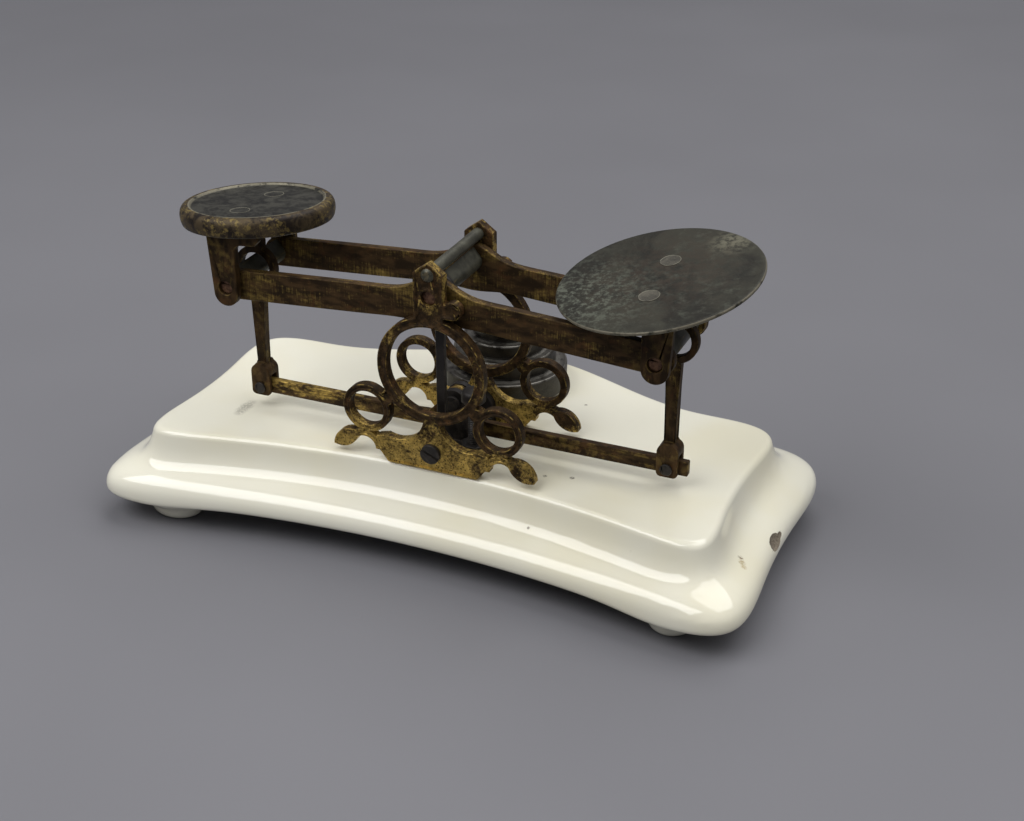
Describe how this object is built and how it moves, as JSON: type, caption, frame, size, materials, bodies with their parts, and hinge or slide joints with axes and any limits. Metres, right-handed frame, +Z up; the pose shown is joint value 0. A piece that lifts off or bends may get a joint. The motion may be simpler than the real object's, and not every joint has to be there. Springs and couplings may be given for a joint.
{
  "type": "postal scale",
  "caption": "Roberval letter scale: two openwork frames on a glazed base carry a tilting beam, a check link, a letter pan and a weights pan, with a stack of disc weights.",
  "frame": {"origin": "centre of the base's outline, on the table", "axes": "+X along the beam towards the letter pan, +Y from the curved front to the bowed back, +Z up"},
  "size_m": [0.23, 0.1352, 0.1099],
  "materials": {
    "glaze": "glossy cream-white glaze, a few chips",
    "gilt_brass": "gilt lacquer, worn and browned",
    "bar_brass": "browned gilt lacquer, worn along the edges",
    "pan_brass": "dark tarnish",
    "verdigris_brass": "dull grey-green patina",
    "weight_brass": "dull grey-brown tarnish",
    "knife_steel": "dark worn steel",
    "dark_steel": "blackened steel"
  },
  "bodies": {
    "base_body": {"base": "glaze", "front_frame": "gilt_brass", "rear_frame": "gilt_brass", "bridge": "dark_steel", "front_frame_screw": "dark_steel", "rear_frame_screw": "dark_steel", "stud": "dark_steel", "stud_nut": "dark_steel", "under_nut": "dark_steel", "tie_rod": "knife_steel", "link_pivot_pin": "dark_steel"},
    "beam": {"front_side_bar": "bar_brass", "rear_side_bar": "bar_brass", "fulcrum_bar": "knife_steel", "left_end_bar": "knife_steel", "right_end_bar": "knife_steel", "pointer": "dark_steel"},
    "weights_carriage": {"left_carrier": "bar_brass", "left_pan": "pan_brass", "left_pan_rivets": "bar_brass", "left_link_pin": "dark_steel"},
    "letter_carriage": {"right_carrier": "bar_brass", "right_pan": "verdigris_brass", "right_pan_rivets": "bar_brass", "right_link_pin": "dark_steel"},
    "link": {"check_link": "bar_brass"},
    "weight_a_body": {"weight_a": "weight_brass"},
    "weight_b_body": {"weight_b": "weight_brass"},
    "weight_c_body": {"weight_c": "weight_brass"},
    "weight_d_body": {"weight_d": "weight_brass"}
  },
  "joints": [
    {"name": "beam_tilt", "type": "hinge", "parent": "base_body", "child": "beam", "pos_m": [0.0034, -0.0215, 0.0922], "axis": [0, 1, 0], "range_deg": [-3, 3]},
    {"name": "weights_carriage_turn", "type": "hinge", "parent": "beam", "child": "weights_carriage", "pos_m": [-0.0706, -0.0215, 0.0832], "axis": [0, 1, 0], "range_deg": [-3, 3]},
    {"name": "letter_carriage_turn", "type": "hinge", "parent": "beam", "child": "letter_carriage", "pos_m": [0.0774, -0.0215, 0.0832], "axis": [0, 1, 0], "range_deg": [-3, 3]},
    {"name": "link_tilt", "type": "hinge", "parent": "base_body", "child": "link", "pos_m": [0.0034, -0.0215, 0.0482], "axis": [0, 1, 0], "range_deg": [-3, 3]},
    {"name": "weight_a_lift", "type": "slide", "parent": "base_body", "child": "weight_a_body", "axis": [0, 0, 1], "range_m": [0, 0.03]},
    {"name": "weight_b_lift", "type": "slide", "parent": "weight_a_body", "child": "weight_b_body", "axis": [0, 0, 1], "range_m": [0, 0.03]},
    {"name": "weight_c_lift", "type": "slide", "parent": "weight_b_body", "child": "weight_c_body", "axis": [0, 0, 1], "range_m": [0, 0.03]},
    {"name": "weight_d_lift", "type": "slide", "parent": "weight_c_body", "child": "weight_d_body", "axis": [0, 0, 1], "range_m": [0, 0.03]}
  ],
  "couplings": [
    {"joint": "weights_carriage_turn", "follows": "beam_tilt", "ratio": -1},
    {"joint": "letter_carriage_turn", "follows": "beam_tilt", "ratio": -1},
    {"joint": "link_tilt", "follows": "beam_tilt", "ratio": 1}
  ]
}
